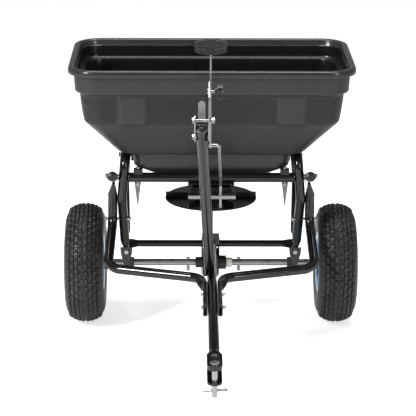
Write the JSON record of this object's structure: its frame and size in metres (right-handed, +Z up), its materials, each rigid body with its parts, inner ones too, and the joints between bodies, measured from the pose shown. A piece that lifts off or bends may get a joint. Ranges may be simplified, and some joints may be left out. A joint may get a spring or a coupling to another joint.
{
  "type": "tow behind broadcast spreader",
  "caption": "Tow-behind broadcast spreader: moulded hopper on a bent tube frame, pneumatic wheels, ground-driven spreading plate, slide gate worked by a hand lever, clevis hitch.",
  "frame": {"origin": "on the ground, on the middle plane, halfway between the front of the hitch and the back of the hopper rim", "axes": "+Z up, +Y towards the rear, +X to the right as seen by someone facing the hitch from the front"},
  "size_m": [0.8, 1.1634, 0.935],
  "materials": {
    "hopper_plastic": "satin moulded polypropylene",
    "black_paint": "gloss powder coat",
    "black_plastic": "moulded plastic",
    "zinc": "bright zinc plate",
    "gear_steel": "sintered steel",
    "nylon": "natural nylon",
    "tyre": "turf tread rubber",
    "blue_rim": "light blue gloss enamel",
    "grey_steel": "grey coated steel"
  },
  "bodies": {
    "frame": {"hopper": "hopper_plastic", "hopper_base_plate": "black_paint", "gate_guide": "black_plastic", "gate_rails": "black_plastic", "hopper_bushing": "nylon", "shaft_support_block": "black_paint", "gearbox_left_half": "black_plastic", "gearbox_right_half": "black_plastic", "gearbox_strap": "zinc", "axle_bearings": "black_plastic", "axle_plates": "black_paint", "hoop_left": "black_paint", "hoop_right": "black_paint", "side_rail_left": "black_paint", "side_rail_right": "black_paint", "tube_caps": "black_plastic", "front_crossbar": "black_paint", "rear_crossbar": "black_paint", "lower_crossbar": "black_paint", "frame_tube_left": "black_paint", "frame_tube_right": "black_paint", "hopper_straps": "grey_steel", "hopper_mounts": "black_plastic", "hopper_bolts": "zinc", "frame_bolts": "zinc", "hitch_bolts": "zinc", "drawbar": "black_paint", "hitch_clevis": "black_paint", "control_tube": "black_paint", "control_bracket": "zinc", "control_bolts": "zinc"},
    "drive_axle": {"axle": "zinc", "drive_gear": "gear_steel", "axle_collar": "nylon", "axle_pins": "zinc", "axle_washers": "zinc", "tyre_right": "tyre", "rim_right_inner": "blue_rim", "rim_right_outer": "blue_rim", "hub_right": "zinc", "valve_right": "black_plastic", "wheel_drive_pin": "zinc"},
    "idle_wheel": {"tyre_left": "tyre", "rim_left_inner": "blue_rim", "rim_left_outer": "blue_rim", "hub_left": "zinc", "valve_left": "black_plastic"},
    "spinner": {"impeller": "black_plastic", "impeller_shaft": "zinc", "agitator": "zinc", "pinion_gear": "gear_steel"},
    "gate": {"slide_gate": "zinc"},
    "lever": {"control_lever": "zinc", "lever_grip": "black_plastic"},
    "link": {"link_rod": "zinc", "link_clip": "zinc"},
    "stop": {"stop_bolt": "zinc"},
    "knob": {"stop_knob": "black_plastic"},
    "tow_pin": {"hitch_pin": "zinc", "hitch_pin_clip": "zinc"}
  },
  "joints": [
    {"name": "axle_spin", "type": "hinge", "parent": "frame", "child": "drive_axle", "pos_m": [0, 0.38125, 0.165], "axis": [1, 0, 0], "continuous": true},
    {"name": "idle_wheel_spin", "type": "hinge", "parent": "frame", "child": "idle_wheel", "pos_m": [-0.338, 0.38125, 0.165], "axis": [1, 0, 0], "continuous": true},
    {"name": "spinner_turn", "type": "hinge", "parent": "frame", "child": "spinner", "pos_m": [0, 0.38125, 0.3], "axis": [0, 0, 1], "continuous": true},
    {"name": "lever_swing", "type": "hinge", "parent": "frame", "child": "lever", "pos_m": [0, -0.25875, 0.739], "axis": [1, 0, 0], "range_deg": [-20, 20]},
    {"name": "link_swing", "type": "hinge", "parent": "lever", "child": "link", "pos_m": [0, -0.25875, 0.679], "axis": [1, 0, 0], "range_deg": [-20.1, 20.1]},
    {"name": "gate_slide", "type": "slide", "parent": "frame", "child": "gate", "axis": [0, 1, 0], "range_m": [-0.0211, 0.0211]},
    {"name": "stop_set", "type": "hinge", "parent": "frame", "child": "stop", "pos_m": [0, -0.25875, 0.739], "axis": [1, 0, 0], "range_deg": [-4.5, 10.5]},
    {"name": "knob_turn", "type": "hinge", "parent": "stop", "child": "knob", "pos_m": [0, -0.30871, 0.82215], "axis": [1, 0, 0], "continuous": true},
    {"name": "tow_pin_turn", "type": "hinge", "parent": "frame", "child": "tow_pin", "pos_m": [0, -0.56375, 0.2], "axis": [0, 0, 1], "continuous": true}
  ],
  "couplings": [
    {"joint": "spinner_turn", "follows": "axle_spin", "ratio": -3},
    {"joint": "link_swing", "follows": "lever_swing", "ratio": -1},
    {"joint": "gate_slide", "follows": "lever_swing", "m_per_rad": 0.06}
  ]
}
